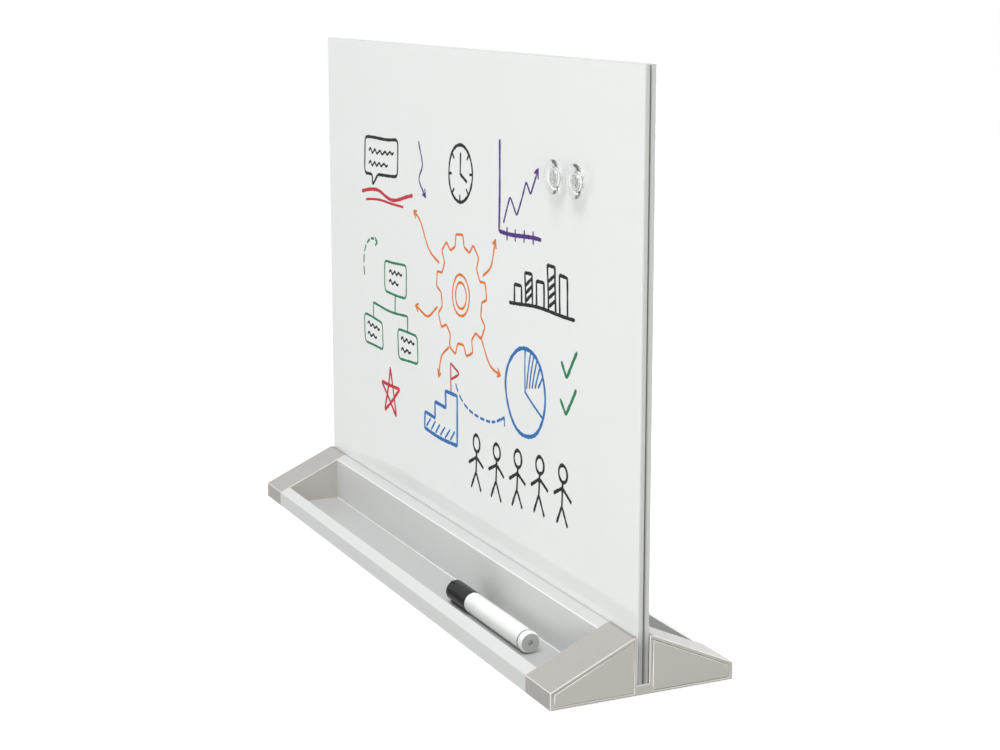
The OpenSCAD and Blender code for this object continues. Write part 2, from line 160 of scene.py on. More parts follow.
class Paint:
    """A node material with a Principled shader; the methods add procedural detail to it."""

    def __init__(self, name, **sockets):
        self.material = bpy.data.materials.new(name)
        self.material.use_nodes = True
        self.tree = self.material.node_tree
        self.shader = self.tree.nodes["Principled BSDF"]
        for socket, value in sockets.items():
            self.shader.inputs[socket.replace("_", " ")].default_value = value
        self.coords = self.tree.nodes.new("ShaderNodeTexCoord").outputs["Object"]

    def link(self, out, into):
        self.tree.links.new(out, into)

    def node(self, kind, **values):
        """A new shader node with those settings."""
        made = self.tree.nodes.new(kind)
        for key, value in values.items():
            setattr(made, key, value)
        return made

    def stretched(self, scale):
        """Object coordinates, stretched along each axis."""
        mapping = self.node("ShaderNodeMapping")
        mapping.inputs["Scale"].default_value = scale
        self.link(self.coords, mapping.inputs["Vector"])
        return mapping.outputs["Vector"]

    def noise(self, size, detail=2.0, scale=(1, 1, 1)):
        """Noise with features of about that size in metres."""
        made = self.node("ShaderNodeTexNoise")
        made.inputs["Scale"].default_value = 1 / size
        made.inputs["Detail"].default_value = detail
        self.link(self.stretched(scale), made.inputs["Vector"])
        return made.outputs["Fac"]

    def ramp(self, fac, stops):
        """Colours along fac; a stop is a place and a colour."""
        made = self.node("ShaderNodeValToRGB")
        elements = made.color_ramp.elements
        while len(elements) < len(stops):
            elements.new(0.5)
        for element, (place, colour) in zip(elements, stops):
            element.position = place
            element.color = colour
        self.link(fac, made.inputs["Fac"])
        return made.outputs["Color"]

    def colour(self, out):
        self.link(out, self.shader.inputs["Base Color"])
        return self

    def mottle(self, colour, size, spread, detail=2.0, scale=(1, 1, 1)):
        """Base colour that varies by plus or minus spread over patches of that size."""
        low = tuple(c * (1 - spread) for c in colour[:3]) + (1,)
        high = tuple(min(1, c * (1 + spread)) for c in colour[:3]) + (1,)
        noise = self.noise(size, detail, scale)
        return self.colour(self.ramp(noise, list(zip(NOISE_SPAN, (low, high)))))

    def part(self, vector, axis, absolute=False):
        """One component of a vector."""
        parts = self.node("ShaderNodeSeparateXYZ")
        self.link(vector, parts.inputs[0])
        if not absolute:
            return parts.outputs[axis]
        size = self.node("ShaderNodeMath", operation="ABSOLUTE")
        self.link(parts.outputs[axis], size.inputs[0])
        return size.outputs[0]

    def span(self, value, start, stop, low=0.0, high=1.0):
        """Maps a value from start..stop to low..high."""
        made = self.node("ShaderNodeMapRange")
        made.inputs["From Min"].default_value = start
        made.inputs["From Max"].default_value = stop
        made.inputs["To Min"].default_value = low
        made.inputs["To Max"].default_value = high
        self.link(value, made.inputs["Value"])
        return made.outputs["Result"]

    def rough(self, low, high, size, scale=(1, 1, 1)):
        """Roughness that varies between two values."""
        noise = self.noise(size, 2.0, scale)
        self.link(self.span(noise, *NOISE_SPAN, low, high), self.shader.inputs["Roughness"])
        return self

    def bump(self, size, depth, strength, detail=2.0, scale=(1, 1, 1)):
        """Fine relief, of about that size and depth in metres."""
        made = self.node("ShaderNodeBump")
        made.inputs["Distance"].default_value = depth
        made.inputs["Strength"].default_value = strength
        self.link(self.noise(size, detail, scale), made.inputs["Height"])
        self.link(made.outputs["Normal"], self.shader.inputs["Normal"])
        return self


def grey(level):
    return (level, level, level, 1)


def times_colour(colour, share):
    return tuple(c * share for c in colour[:3]) + (1,)


GRAIN = 0.5 * MM                                 # size of the grain of blasted metal and of satin paint
ALONG = (0.05, 1, 1)                             # stretches a pattern along the base

ALUMINIUM = (0.69, 0.70, 0.695, 1)
LIT_ALUMINIUM = (0.95, 0.955, 0.95, 1)           # painted highlight along the edges between deck and pen tray
POCKET_SHADED_ALUMINIUM = (0.57, 0.575, 0.573, 1)       # painted shade on the pen tray's floor
CAP_PAINT = (0.43, 0.406, 0.392, 1)
CAP_EDGE_HIGHLIGHT = (0.80, 0.78, 0.76, 1)                 # painted highlight along the rounded edges
INLAY_PAINT = (0.47, 0.455, 0.43, 1)
# painted highlight along the inlays' rounded edges
INLAY_EDGE_HIGHLIGHT = (0.97, 0.95, 0.93, 1)
STRIP_SHADE_SHARE = 0.74                               # share of a colour left on the flat strip beside the glass, as painted shade
DECK_SHADE_SHARE = 0.92                                # and on the deck between that strip and the pen tray, also painted shade
GLASS_FACE = (0.925, 0.945, 0.935, 1)
GLASS_BACK = grey(0.42)
FILM_WHITE = (0.83, 0.84, 0.83, 1)
CHANNEL_STEEL = (0.45, 0.45, 0.46, 1)
SCREW_STEEL = (0.40, 0.40, 0.41, 1)
SHEET_STEEL = (0.35, 0.35, 0.36, 1)
MAGNET_SIDE = grey(0.42)
MAGNET_FACE = (0.62, 0.62, 0.61, 1)
BLOCK_RUBBER = grey(0.05)
FOOT_RUBBER = grey(0.03)
VINYL = (0.60, 0.61, 0.61, 1)
ACRYLIC = (0.945, 0.952, 0.948, 1)
MARKER_WHITE = (0.89, 0.90, 0.895, 1)
MARKER_END = grey(0.42)
# painted shade for the marker's parting groove
MARKER_GROOVE_SHADE = grey(0.16)
MARKER_BLACK = grey(0.007)
MARKER_HOLDER = grey(0.30)
INK_FELT = grey(0.20)
NIB_FELT = grey(0.02)
FLOOR_GREY = grey(0.50)


def satin_aluminium(name, colour, roughness=0.42):
    """Blasted and anodised: fine grain, and faint lines along the extrusion."""
    paint = Paint(name, Metallic=0.18, Specular_IOR_Level=0.3)
    paint.mottle(colour, GRAIN, 0.07, 3.0)
    paint.rough(roughness - 0.05, roughness + 0.07, 6 * MM, ALONG)
    return paint.bump(GRAIN, 0.03 * MM, 0.5).material


def grained_paint(name, colour, roughness=0.42):
    """Fine-grained satin paint on moulded plastic."""
    paint = Paint(name, Specular_IOR_Level=0.3)
    paint.mottle(colour, GRAIN, 0.07, 3.0)
    paint.rough(roughness - 0.06, roughness + 0.06, 9 * MM)
    return paint.bump(GRAIN, 0.04 * MM, 0.5).material


def paint_edge(name, colour, upright_colour, highlight_colour, flat_colour):
    """Rounded edge of a painted part.

    It has a colour for edges between upright faces, one for where a slope turns down, one for
    the slopes themselves, and one for flat tops. The way the edge faces picks them, as painted
    highlight and painted shade.
    """
    paint = Paint(name, Roughness=0.32, Specular_IOR_Level=0.4)
    up = paint.part(paint.node("ShaderNodeNewGeometry").outputs["Normal"], "Z")
    paint.colour(paint.ramp(up, [
        (0.02, upright_colour), (0.08, highlight_colour), (0.74, highlight_colour),
        (0.86, colour), (0.95, colour), (0.965, flat_colour),
    ]))
    return paint.bump(GRAIN, 0.02 * MM, 0.4).material


def aluminium_edge(name, colour, lit_colour, lit_from, lit_to):
    """Rounded edge of the extrusion: a painted highlight between two distances from the board's middle, or
    else plain.
    """
    paint = Paint(name, Metallic=0.18, Roughness=0.30, Specular_IOR_Level=0.4)
    out = paint.span(paint.part(paint.coords, "Y", True), 0, lit_to)
    share = lit_from / lit_to
    paint.colour(paint.ramp(out, [
        (share - 0.02, colour), (share, lit_colour), (0.98, lit_colour), (1.0, colour),
    ]))
    return paint.bump(GRAIN, 0.02 * MM, 0.4).material


def plated_steel(name, colour, roughness):
    """Zinc-plated or galvanised steel, with a slightly cloudy finish."""
    paint = Paint(name, Metallic=0.9)
    paint.mottle(colour, 4 * MM, 0.12, 3.0)
    paint.rough(roughness - 0.08, roughness + 0.1, 2 * MM)
    return paint.bump(0.8 * MM, 0.02 * MM, 0.4).material


def rubber(name, colour):
    """Matt rubber."""
    paint = Paint(name, Specular_IOR_Level=0.3)
    paint.mottle(colour, 2 * MM, 0.2)
    paint.rough(0.7, 0.85, 3 * MM)
    return paint.bump(0.4 * MM, 0.05 * MM, 0.5).material


def plastic(name, colour, roughness, specular=0.5):
    """Moulded plastic with the faint waviness of its mould."""
    paint = Paint(name, Specular_IOR_Level=specular)
    paint.mottle(colour, 12 * MM, 0.02)
    paint.rough(roughness - 0.03, roughness + 0.03, 5 * MM)
    return paint.bump(1.2 * MM, 0.004 * MM, 0.5).material


def felt(name, colour):
    """Bonded fibres that run along the marker."""
    fibres = (0.1, 1, 1)
    paint = Paint(name, Specular_IOR_Level=0.1)
    paint.mottle(colour, 0.4 * MM, 0.3, 3.0, fibres)
    paint.rough(0.85, 0.98, 1 * MM)
    return paint.bump(0.3 * MM, 0.06 * MM, 0.8, 3.0, fibres).material


def glass_face():
    """White seen through the glossy front of the glass."""
    paint = Paint("glass_face", Specular_IOR_Level=0.5, IOR=1.5)
    paint.mottle(GLASS_FACE, 90 * MM, 0.006)
    paint.rough(0.0, 0.03, 60 * MM)
    return paint.bump(60 * MM, 0.01 * MM, 0.2).material


def glass_edge(back, face, slot_top):
    """Polished edge of a panel that lies from back to face, measured from the middle of the board.

    It has a painted highlight at the outer corner, is pale grey inside, and is darker down in the
    slot, where little light comes in, as painted shade.
    """
    paint = Paint("glass_edge", Roughness=0.12, Specular_IOR_Level=0.4)
    depth = paint.part(paint.coords, "Y", True)
    across = paint.ramp(paint.span(depth, back, face), [
        (0.0, (0.52, 0.525, 0.52, 1)), (0.5, (0.54, 0.545, 0.54, 1)),
        (0.8, (0.56, 0.565, 0.56, 1)), (1.0, (0.66, 0.665, 0.66, 1)),
    ])
    height = paint.part(paint.coords, "Z")
    up = paint.ramp(paint.span(height, slot_top - 8 * MM, slot_top + 6 * MM), [
        (0.0, (0.60, 0.60, 0.61, 1)), (1.0, (*WHITE, 1)),
    ])
    both = paint.node("ShaderNodeMix", data_type="RGBA", blend_type="MULTIPLY")
    both.inputs["Factor"].default_value = 1.0
    paint.link(across, both.inputs["A"])
    paint.link(up, both.inputs["B"])
    paint.colour(both.outputs["Result"])
    return paint.bump(8 * MM, 0.02 * MM, 0.3).material


def clear_acrylic():
    """Clear, polished plastic of the knobs."""
    paint = Paint("clear_acrylic", Transmission_Weight=1.0, IOR=1.49, Specular_IOR_Level=0.5)
    paint.mottle(ACRYLIC, 5 * MM, 0.004)
    return paint.rough(0.0, 0.02, 4 * MM).material


def magnet_metal():
    """Bright plated face and a duller side."""
    paint = Paint("magnet_metal", Metallic=0.7)
    facing = paint.part(paint.tree.nodes["Texture Coordinate"].outputs["Normal"], "Y", True)
    paint.colour(paint.ramp(facing, [(0.3, MAGNET_SIDE), (0.7, MAGNET_FACE)]))
    paint.rough(0.2, 0.3, 2 * MM)
    return paint.bump(0.6 * MM, 0.01 * MM, 0.3).material


def ink(name, colour):
    """Dry-erase ink: even, with slightly thinner patches along the stroke."""
    paint = Paint("ink_" + name, Specular_IOR_Level=0.1)
    board_level = 0.8
    showing_through = 0.05
    thin = tuple(c + (board_level - c) * showing_through for c in colour[:3]) + (1,)
    paint.colour(paint.ramp(paint.noise(2.2 * MM, 3.0), [(0.35, colour), (0.75, thin)]))
    return paint.rough(0.5, 0.7, 2 * MM).material


def floor_white():
    """Plain pale floor.

    The camera sees it white with the object's shadow, and gloss and glass see it plain white.
    """
    paint = Paint("floor_white", Roughness=0.9, Specular_IOR_Level=0.0)
    paint.mottle(FLOOR_GREY, 400 * MM, 0.004)
    camera, mirrored = seen_rays(paint.tree)
    glow = paint.node("ShaderNodeEmission")
    paint.link(times(paint.tree, camera, FLOOR_GLOW), glow.inputs["Strength"])
    lit = paint.node("ShaderNodeAddShader")
    paint.link(paint.shader.outputs[0], lit.inputs[0])
    paint.link(glow.outputs[0], lit.inputs[1])
    white = paint.node("ShaderNodeEmission")
    either = paint.node("ShaderNodeMixShader")
    paint.link(mirrored, either.inputs["Fac"])
    paint.link(lit.outputs[0], either.inputs[1])
    paint.link(white.outputs[0], either.inputs[2])
    paint.link(either.outputs[0], paint.tree.nodes["Material Output"].inputs["Surface"])
    return paint.material


# ---- piece builders ----
SQUARE = 0.99                                    # a face looks along an axis if its normal does by this share
ALONG_X = (1, 0, 0)
LEAST_TURN = 20                                  # degrees; an edge that turns less isn't rounded
FULL_TURN = 40                                   # one that turns less than this is rounded half
ROUND_PARTS = 128                                # sides of a turned piece
TURNED_SHARP = 35                                # degrees; a turned piece is smooth below it


def new_piece(name, mesh, body, materials, stands_for=()):
    """Links a finished mesh as a piece that moves with a body."""
    piece = bpy.data.objects.new(name, mesh)
    bpy.context.collection.objects.link(piece)
    for material in materials:
        mesh.materials.append(material)
    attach(piece, body)
    if stands_for:
        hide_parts(*stands_for)
    return piece


def shade(mesh, sharp_angle):
    """Smooth shading, except over edges that turn more than the angle in degrees."""
    for polygon in mesh.polygons:
        polygon.use_smooth = True
    mesh.set_sharp_from_angle(angle=math.radians(sharp_angle))


def clean_copy(node):
    """The CAD node's mesh with its triangles joined into flat faces."""
    form = bmesh.new()
    form.from_mesh(nodes[node].data)
    bmesh.ops.remove_doubles(form, verts=form.verts, dist=0.001 * MM)
    bmesh.ops.dissolve_limit(form, angle_limit=math.radians(0.5), verts=form.verts, edges=form.edges)
    return form


def rounding_share(edge, skin, least_length, along):
    """How much an edge is rounded: 1 for fully, 0.5 for half and 0 for not at all.

    It is rounded if it is long, sharp and looks out into the open, but not down at the desk;
    along leaves only edges parallel to it.
    """
    if not edge.is_manifold or edge.calc_length() < least_length:
        return 0.0
    turn = math.degrees(edge.calc_face_angle())
    if turn < LEAST_TURN:
        return 0.0
    one, two = (vert.co for vert in edge.verts)
    if along and abs((two - one).normalized().dot(Vector(along))) < 0.999:
        return 0.0
    outward = (edge.link_faces[0].normal + edge.link_faces[1].normal).normalized()
    looks_down = outward.z < -0.3
    faced = skin.ray_cast((one + two) / 2 + outward * 0.02 * MM, outward)[0]
    if looks_down or faced is not None:
        return 0.0
    return 1.0 if turn > FULL_TURN else 0.5


def rounded(node, body, materials, radius, least_length=2.5 * MM, along=None, paint_face=None):
    """A copy of a CAD node with rounded outer edges, which take the last material.

    paint_face gives the number of a face's material, where it isn't the first.
    """
    form = clean_copy(node)
    form.normal_update()
    skin = BVHTree.FromBMesh(form)
    weight = form.edges.layers.float.new("bevel_weight_edge")
    for edge in form.edges:
        edge[weight] = rounding_share(edge, skin, least_length, along)
    if paint_face:
        for face in form.faces:
            face.material_index = paint_face(face)
    mesh = bpy.data.meshes.new(node + "_finished")
    form.to_mesh(mesh)
    form.free()
    shade(mesh, LEAST_TURN)
    piece = new_piece(node + "_finished", mesh, body, materials, [node])
    bevel = piece.modifiers.new("rounding", "BEVEL")
    bevel.limit_method = "WEIGHT"
    bevel.width = radius
    bevel.segments = 3
    bevel.use_clamp_overlap = False
    bevel.harden_normals = True
    bevel.material = len(materials) - 1
    return piece


def finish_node(node, material):
    """Gives a CAD node its material."""
    slots = nodes[node].data.materials
    if slots:
        nodes[node].material_slots[0].material = material
    else:
        slots.append(material)


def filleted(corners, steps=5):
    """Profile points from corners (along, radius, rounding), each corner turned into an arc."""
    points = []
    for i, (along, radius, rounding) in enumerate(corners):
        here = Vector((along, radius))
        if rounding == 0 or i in (0, len(corners) - 1):
            points.append(here)
            continue
        before = Vector(corners[i - 1][:2]) - here
        after = Vector(corners[i + 1][:2]) - here
        half = before.angle(after) / 2
        reach = min(rounding / math.tan(half), 0.48 * before.length, 0.48 * after.length)
        start = here + before.normalized() * reach
        end = here + after.normalized() * reach
        for step in range(steps + 1):
            t = step / steps
            points.append((1 - t) ** 2 * start + 2 * t * (1 - t) * here + t * t * end)
    return points


def in_metres(corners):
    """Profile corners given in millimetres."""
    return [tuple(value * MM for value in corner) for corner in corners]


def lathe(form, corners, origin, axis, side):
    """Adds a solid of revolution to form. The profile starts and ends on the axis, or closes on itself."""
    points = filleted(corners)
    axis = Vector(axis)
    across = Vector(side)
    up = axis.cross(across)
    rings = []
    for along, radius in points:
        centre = Vector(origin) + axis * along
        if radius < 1e-7:
            rings.append([form.verts.new(centre)])
            continue
        rings.append([
            form.verts.new(centre + radius * (math.cos(turn) * across + math.sin(turn) * up))
            for turn in (2 * math.pi * i / ROUND_PARTS for i in range(ROUND_PARTS))
        ])
    pairs = list(zip(rings, rings[1:]))
    if len(rings[0]) > 1:
        pairs.append((rings[-1], rings[0]))
    for one, two in pairs:
        for i in range(ROUND_PARTS):
            j = (i + 1) % ROUND_PARTS
            quad = [one[i % len(one)], one[j % len(one)], two[j % len(two)], two[i % len(two)]]
            face = list(dict.fromkeys(quad))
            if len(face) > 2:
                form.faces.new(face)


def turned_piece(name, corners, origin, axis, side, body, materials, node):
    """A solid of revolution that stands for a CAD node."""
    form = bmesh.new()
    lathe(form, corners, origin, axis, side)
    bmesh.ops.recalc_face_normals(form, faces=form.faces)
    mesh = bpy.data.meshes.new(name)
    form.to_mesh(mesh)
    form.free()
    shade(mesh, TURNED_SHARP)
    piece = new_piece(name, mesh, body, materials, [node])
    piece.modifiers.new("weighted", "WEIGHTED_NORMAL").keep_sharp = True
    return piece


# ---- base ----
TRAY_ROUNDING = 0.55 * MM
CAP_ROUNDING = 0.5 * MM
INLAY_ROUNDING = 0.6 * MM
CAP_EDGE_SHARE = 1.3                             # how much lighter, as painted highlight, the plain edges of caps and inlays are
# how much lighter, as painted highlight, the plain edges of inlays are
INLAY_EDGE_SHARE = 1.2
LIT_EDGES = (12 * MM, 25 * MM)                   # painted highlight on edges between these distances from the board's middle


def beside_glass(face, ridge):
    """Whether a face lies in the flat strip along the glass, the highest of the base."""
    return face.normal.z > SQUARE and face.calc_center_median().z > ridge - 0.2 * MM


def dress_trays(ridge):
    """The extrusions. The strip beside the glass, the pocket's floor and the deck have darker copies of the
    aluminium, as painted shade.
    """
    skins = [
        satin_aluminium("tray_aluminium", ALUMINIUM),
        # darker copies of the aluminium as painted shade, then an edge with painted highlight
        satin_aluminium("tray_aluminium_strip_shade", times_colour(ALUMINIUM, STRIP_SHADE_SHARE)),
        satin_aluminium("tray_aluminium_pocket_shade", POCKET_SHADED_ALUMINIUM, 0.36),
        satin_aluminium("tray_aluminium_deck_shade", times_colour(ALUMINIUM, DECK_SHADE_SHARE)),
        aluminium_edge("tray_aluminium_edge_highlight", ALUMINIUM, LIT_ALUMINIUM, *LIT_EDGES),
    ]
    plain, strip, pocket, deck = range(4)

    def tray_face(face):
        height = face.calc_center_median().z
        if beside_glass(face, ridge):
            return strip
        if face.normal.z > 0.85 and height > 0.8 * ridge:
            return deck
        return pocket if face.normal.z > SQUARE and height < 0.2 * ridge else plain

    for node in ("front_tray", "rear_tray"):
        rounded(node, "base", skins, TRAY_ROUNDING, 100 * MM, ALONG_X, tray_face)


def dress_caps(ridge):
    """The end caps and their inlays. The rim round the inlays is painted like them."""
    half_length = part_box("right_end_cap")[1].x
    # The darker copy of the paint on the strip beside the glass is painted shade.
    strip_shade_paint = times_colour(CAP_PAINT, STRIP_SHADE_SHARE)
    # The lighter copies of the paints for the rounded edges are painted highlight.
    cap_plain = times_colour(CAP_PAINT, CAP_EDGE_SHARE)
    inlay_plain = times_colour(INLAY_PAINT, INLAY_EDGE_SHARE)
    inlay = grained_paint("inlay_paint", INLAY_PAINT)
    cap_skins = [
        grained_paint("cap_paint", CAP_PAINT),
        grained_paint("cap_paint_strip_shade", strip_shade_paint),
        inlay,
        paint_edge("cap_paint_edge_highlight", cap_plain, CAP_EDGE_HIGHLIGHT, CAP_EDGE_HIGHLIGHT, strip_shade_paint),
    ]
    inlay_skins = [
        inlay,
        paint_edge("inlay_paint_edge_highlight", inlay_plain, inlay_plain, INLAY_EDGE_HIGHLIGHT, inlay_plain),
    ]
    plain, strip, rim = range(3)

    def cap_face(face):
        x = face.calc_center_median().x
        looks_out = face.normal.x * x > 0.9 * abs(x)
        if looks_out and abs(x) > half_length - 0.1 * MM:
            return rim
        return strip if beside_glass(face, ridge) else plain

    for end in ("left", "right"):
        rounded(end + "_end_cap", "base", cap_skins, CAP_ROUNDING, paint_face=cap_face)
        for side in ("front", "rear"):
            rounded(f"{end}_{side}_inlay", "base", inlay_skins, INLAY_ROUNDING)


def dress_base():
    """All pieces of the base."""
    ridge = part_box("front_tray")[1].z
    dress_trays(ridge)
    dress_caps(ridge)
    finish_node("centre_channel", plated_steel("channel_steel", CHANNEL_STEEL, 0.4))
    screws = plated_steel("screw_steel", SCREW_STEEL, 0.35)
    for node in ("channel_screws", "left_cap_screws", "right_cap_screws"):
        finish_node(node, screws)
    finish_node("setting_blocks", rubber("block_rubber", BLOCK_RUBBER))
    finish_node("foot_pads", rubber("foot_rubber", FOOT_RUBBER))
    vinyl = plastic("gasket_vinyl", VINYL, 0.4)
    for node in ("front_gasket", "rear_gasket"):
        finish_node(node, vinyl)


# ---- board ----
def dress_board():
    """The panels, with their own looks on the outside, the edges and the back, and what lies between."""
    near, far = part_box("front_glass")
    skins = [
        glass_face(),
        glass_edge(-far.y, -near.y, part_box("front_tray")[1].z),
        plastic("glass_back", GLASS_BACK, 0.6),
    ]
    outside, edge, back = range(3)
    for node in ("front_glass", "rear_glass"):
        form = clean_copy(node)
        form.normal_update()
        for face in form.faces:
            looks_out = face.normal.y * face.calc_center_median().y > 0
            is_flat = abs(face.normal.y) > SQUARE
            face.material_index = (outside if looks_out else back) if is_flat else edge
        mesh = bpy.data.meshes.new(node + "_finished")
        form.to_mesh(mesh)
        form.free()
        new_piece(node + "_finished", mesh, "board", skins, [node])
    film = plastic("backing_white", FILM_WHITE, 0.6)
    for node in ("front_backing_film", "rear_backing_film"):
        finish_node(node, film)
    finish_node("steel_sheet", plated_steel("sheet_steel", SHEET_STEEL, 0.45))


# ---- magnets ----
KNOB_CORNERS = [                                 # height over the glass, radius, rounding, all in mm
    (2.9, 0, 0), (2.9, 5.05, 0.05), (0, 5.05, 0.05), (0, 6.4, 0.2), (1.0, 6.4, 1.2), (2.7, 8.0, 1.5),
    (3.3, 12.4, 0.2), (4.85, 12.4, 0.6), (5.35, 10.4, 2.0), (5.45, 6.4, 0.3), (4.5, 5.2, 0.5),
    (4.4, 4.0, 0.4), (4.85, 3.2, 0.25), (4.85, 0, 0),
]


def dress_magnets():
    """The clear knobs, turned with finer steps than in the solids, and the discs inside them."""
    acrylic = clear_acrylic()
    metal = magnet_metal()
    for body in ("magnet_1", "magnet_2"):
        low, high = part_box(body + "_knob")
        on_glass = Vector(((low.x + high.x) / 2, high.y, (low.z + high.z) / 2))
        turned_piece(
            body + "_clear_knob", in_metres(KNOB_CORNERS), on_glass, (0, -1, 0), ALONG_X,
            body, [acrylic], body + "_knob",
        )
        finish_node(body + "_disc", metal)


# ---- marker ----
# Lengths along the marker are measured from its plugged end.
GROOVE_START = 5.2 * MM                          # parting groove between plug and barrel
GROOVE_STOP = 6.0 * MM
PLUG_CORNERS = [                                 # distance from the end, radius, rounding, all in mm
    (2, 0, 0), (2, 2, 0.1), (0, 2, 0.25), (0, 7.1, 0.3), (2.0, 8.12, 1.0), (2.6, 8.2, 0.5),
    (5.2, 8.2, 0.25), (5.2, 6.98, 0), (12.3, 6.98, 0.3), (13.3, 6.2, 0.3), (13.3, 0, 0),
]
HOLE = 2.1 * MM                                  # depth and radius that just take in the plug's hole
LID_OVER_BARREL = 0.2 * MM                       # how much further out the cap's side lies
LID_WALL = 1.6 * MM                              # thickness of the cap's closed end
NUB_TURNS = (115, 245, 355)                      # degrees round the marker's axis
NUB_SIZE = (4.6 * MM, 1.2 * MM, 1.3 * MM)
NUB_FROM_TIP = 3.4 * MM
NUB_OUT = 0.13 * MM                              # from the cap's side to the middle of a nub


def turned_marker(name, corners, end, body, materials, node):
    """A piece turned round the marker's axis."""
    return turned_piece(name, corners, end, (-1, 0, 0), (0, 1, 0), body, materials, node)


def add_tube(end, radius, neck, mouth, white, groove_shade):
    """The barrel, from the parting groove to its ribbed neck in the cap."""
    bore = radius - 1.2 * MM
    tube = turned_marker("marker_tube", [
        (7.9 * MM, bore, 0), (GROOVE_STOP, bore, 0), (GROOVE_STOP, radius, 0.3 * MM),
        (mouth - 0.1 * MM, radius, 0.3 * MM), (mouth - 0.1 * MM, neck, 0),
        (mouth + 2 * MM, neck, 0.5 * MM), (mouth + 2.6 * MM, neck + 0.15 * MM, 0.4 * MM),
        (mouth + 3.2 * MM, neck, 0.5 * MM), (mouth + 8 * MM, neck, 0.3 * MM),
        (mouth + 8 * MM, 5.3 * MM, 0), (mouth + 5 * MM, 5.3 * MM, 0), (mouth + 3 * MM, bore, 0),
    ], end, "marker", [white, groove_shade], "marker_barrel")
    # faces in the parting groove get painted shade
    for polygon in tube.data.polygons:
        behind = end.x - polygon.center.x
        if behind < GROOVE_STOP + 0.3 * MM and polygon.normal.x > 0.02:
            polygon.material_index = 1


def add_plug(end, white, end_grey, groove_shade):
    """The end plug, grey on its end and in its hole, and with painted shade in the groove."""
    plug = turned_marker(
        "marker_plug", in_metres(PLUG_CORNERS), end,
        "marker", [white, end_grey, groove_shade], "marker_end_plug",
    )
    for polygon in plug.data.polygons:
        radius = (polygon.center - end).yz.length
        behind = end.x - polygon.center.x
        if polygon.normal.x > 0.9 or (behind < HOLE and radius < HOLE):
            polygon.material_index = 1
        elif behind > GROOVE_START - 0.1 * MM and radius < 8.0 * MM:
            polygon.material_index = 2


def add_lid(end, radius, bore, mouth, length, black):
    """The cap, with a rounded closed end."""
    turned_marker("marker_lid", [
        (mouth, bore, 0.1 * MM), (mouth, radius, 0.25 * MM), (length - 1.0 * MM, radius, 0.9 * MM),
        (length, radius - 1.3 * MM, 0.5 * MM), (length, 0, 0), (length - LID_WALL, 0, 0),
        (length - LID_WALL, bore, 0.3 * MM),
    ], end, "marker_cap", [black], "marker_cap")


def add_nubs(end, radius, length, black):
    """The small rounded ridges near the cap's tip that keep the marker from rolling."""
    form = bmesh.new()
    for turn in NUB_TURNS:
        made = bmesh.ops.create_cube(form, size=1)["verts"]
        bmesh.ops.scale(form, vec=NUB_SIZE, verts=made)
        bmesh.ops.translate(form, vec=(NUB_FROM_TIP - length, 0, radius + NUB_OUT), verts=made)
        bmesh.ops.rotate(form, matrix=Matrix.Rotation(math.radians(turn - 90), 3, "X"), verts=made)
    bmesh.ops.translate(form, vec=end, verts=form.verts)
    bmesh.ops.bevel(form, geom=list(form.edges), offset=0.3 * MM, segments=3, profile=0.5, affect="EDGES")
    mesh = bpy.data.meshes.new("marker_lid_nubs")
    form.to_mesh(mesh)
    form.free()
    shade(mesh, 60)
    new_piece("marker_lid_nubs", mesh, "marker_cap", [black])


def dress_marker():
    """The marker's outside, turned with a finer profile than in the solids, and the looks of its inside."""
    low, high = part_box("marker_end_plug")
    cap_low, cap_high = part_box("marker_cap")
    end = Vector((high.x, (low.y + high.y) / 2, (low.z + high.z) / 2))
    radius = (high.y - low.y) / 2
    neck = radius - 0.9 * MM
    length = end.x - cap_low.x
    mouth = end.x - cap_high.x
    lid_radius = radius + LID_OVER_BARREL
    white = plastic("marker_white", MARKER_WHITE, 0.16)
    end_grey = plastic("marker_end_grey", MARKER_END, 0.4)
    groove_shade = plastic("marker_groove_shade", MARKER_GROOVE_SHADE, 0.6)
    black = plastic("marker_black", MARKER_BLACK, 0.24, specular=0.17)
    holder = plastic("marker_holder", MARKER_HOLDER, 0.4)
    add_tube(end, radius, neck, mouth, white, groove_shade)
    add_plug(end, white, end_grey, groove_shade)
    add_lid(end, lid_radius, neck + LID_OVER_BARREL, mouth, length, black)
    finish_node("marker_ink_core", felt("ink_felt", INK_FELT))
    finish_node("marker_nib", felt("nib_felt", NIB_FELT))
    for node in ("marker_nib_holder", "marker_cap_seal"):
        finish_node(node, holder)
    add_nubs(end, lid_radius, length, black)


# ---- drawing on the board ----
INKS = {
    "orange": srgb(236, 126, 38), "purple": srgb(84, 48, 132), "green": srgb(36, 132, 88),
    "blue": srgb(48, 118, 188), "red": srgb(206, 56, 66), "black": srgb(24, 24, 27),
}
LINE = 2.2                                       # stroke widths, mm
INKY = 2.8
BOLD = 3.2
STEP = 1.2                                       # length of one piece of a stroke, mm
DASH = 5                                         # steps in a dash, and in the gap after it
GAP = 4
CURVE_PARTS = 12                                 # points of a curve from one knot to the next
ARROW_SIDE = 6                                   # length of the strokes of an arrow head, mm
ARROW_TURN = 32                                  # degrees from the arrow to each of them
TIP_TURNS = (10, 35, 60)                         # degrees; where the round end of a stroke has points
INK_BACK = 0.002 * MM                            # the ink's back and front, over the glass
INK_FRONTS = [depth * MM for depth in (0.012, 0.018, 0.024)]
INK_RISE = 0.012 * MM


def hand(x, z):
    """Moves a point a little, the way a hand-drawn line wavers."""
    return Vector((
        x + 0.9 * math.sin(z / 17) + 0.4 * math.sin(x / 7 + z / 11),
        z + 0.9 * math.sin(x / 19) + 0.4 * math.sin(z / 8 - x / 13),
    ))


